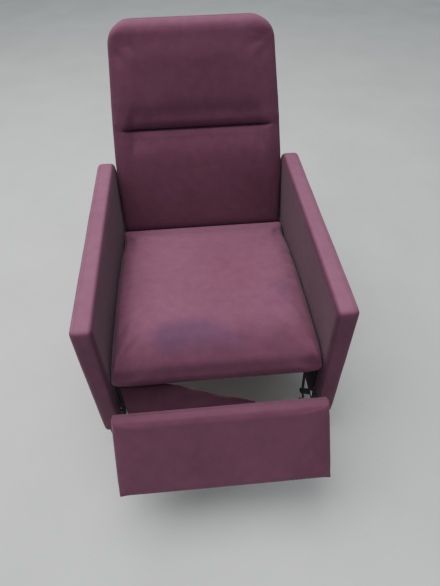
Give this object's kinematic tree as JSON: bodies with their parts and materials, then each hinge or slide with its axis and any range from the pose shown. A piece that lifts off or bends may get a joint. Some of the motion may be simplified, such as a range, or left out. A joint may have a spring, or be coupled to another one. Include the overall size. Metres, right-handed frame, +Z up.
{
  "type": "recliner armchair",
  "caption": "Compact upholstered push-back recliner with slab arms, split back pad, deep seat and a hinged footrest carried on folding steel links, shown part open.",
  "frame": {"origin": "centre of the overall box at floor level, below the chair, at the stored part-open pose", "axes": "+X to the right seen from in front of the chair, +Y towards the back of the chair, +Z up; the sitter faces -Y"},
  "size_m": [0.665, 1.1584, 0.95],
  "materials": {
    "burgundy_cloth": "matte finely woven upholstery cloth, plum burgundy",
    "frame_wood": "raw plywood and sawn softwood",
    "dark_wood": "dark stained satin wood",
    "black_steel": "black painted steel",
    "zinc_steel": "bright zinc plated steel",
    "black_nylon": "moulded black nylon"
  },
  "bodies": {
    "base": {"right_arm_cover": "burgundy_cloth", "left_arm_cover": "burgundy_cloth", "right_arm_frame": "frame_wood", "left_arm_frame": "frame_wood", "right_front_leg": "dark_wood", "left_front_leg": "dark_wood", "right_front_glide": "black_nylon", "left_front_glide": "black_nylon", "right_rear_leg": "dark_wood", "left_rear_leg": "dark_wood", "right_rear_glide": "black_nylon", "left_rear_glide": "black_nylon", "front_stretcher": "frame_wood", "rear_stretcher": "frame_wood", "right_base_rail": "black_steel", "left_base_rail": "black_steel"},
    "seat": {"right_seat_side_rail": "frame_wood", "left_seat_side_rail": "frame_wood", "seat_front_rail": "frame_wood", "seat_rear_rail": "frame_wood", "seat_spring_1": "black_steel", "seat_spring_2": "black_steel", "seat_spring_3": "black_steel", "seat_spring_4": "black_steel", "right_seat_plate": "black_steel", "left_seat_plate": "black_steel", "right_seat_runner": "black_nylon", "left_seat_runner": "black_nylon", "seat_cushion": "burgundy_cloth", "front_apron": "burgundy_cloth"},
    "back": {"lumbar_cushion": "burgundy_cloth", "head_cushion": "burgundy_cloth", "outside_back": "burgundy_cloth", "right_back_stile": "frame_wood", "left_back_stile": "frame_wood", "back_top_rail": "frame_wood", "back_bottom_rail": "frame_wood", "back_spring_1": "black_steel", "back_spring_2": "black_steel", "back_spring_3": "black_steel", "right_back_bracket": "black_steel", "left_back_bracket": "black_steel"},
    "rear_links": {"right_rear_link": "black_steel", "left_rear_link": "black_steel"},
    "upper_links": {"right_upper_link": "black_steel", "left_upper_link": "black_steel"},
    "lower_links": {"right_lower_link": "zinc_steel", "left_lower_link": "zinc_steel"},
    "footrest": {"footrest_board": "frame_wood", "footrest_pad": "burgundy_cloth", "right_footrest_bracket": "black_steel", "left_footrest_bracket": "black_steel"}
  },
  "joints": [
    {"name": "seat_glide", "type": "slide", "parent": "base", "child": "seat", "axis": [0, -1, 0], "range_m": [-0.009, 0.036]},
    {"name": "back_recline", "type": "hinge", "parent": "seat", "child": "back", "pos_m": [0, 0.29469, 0.29], "axis": [-1, 0, 0], "range_deg": [-7, 28]},
    {"name": "footrest_open", "type": "hinge", "parent": "seat", "child": "rear_links", "pos_m": [0, -0.27531, 0.2517], "axis": [-1, 0, 0], "range_deg": [-39.6, 51.6], "deforming": ["front_apron"]},
    {"name": "upper_link_fold", "type": "hinge", "parent": "rear_links", "child": "upper_links", "pos_m": [0, -0.29067, 0.12835], "axis": [-1, 0, 0], "range_deg": [-71, 54.5]},
    {"name": "footrest_tilt", "type": "hinge", "parent": "upper_links", "child": "footrest", "pos_m": [0, -0.39597, 0.28446], "axis": [-1, 0, 0], "range_deg": [-49.5, 64.5]},
    {"name": "lower_link_fold", "type": "hinge", "parent": "rear_links", "child": "lower_links", "pos_m": [0, -0.31108, 0.10987], "axis": [-1, 0, 0], "range_deg": [-71, 54.5]}
  ],
  "couplings": [
    {"joint": "seat_glide", "follows": "back_recline", "m_per_rad": 0.07},
    {"joint": "upper_link_fold", "follows": "footrest_open", "ratio": -1.3533},
    {"joint": "footrest_tilt", "follows": "footrest_open", "ratio": 1.2278},
    {"joint": "lower_link_fold", "follows": "footrest_open", "ratio": -1.3537}
  ]
}
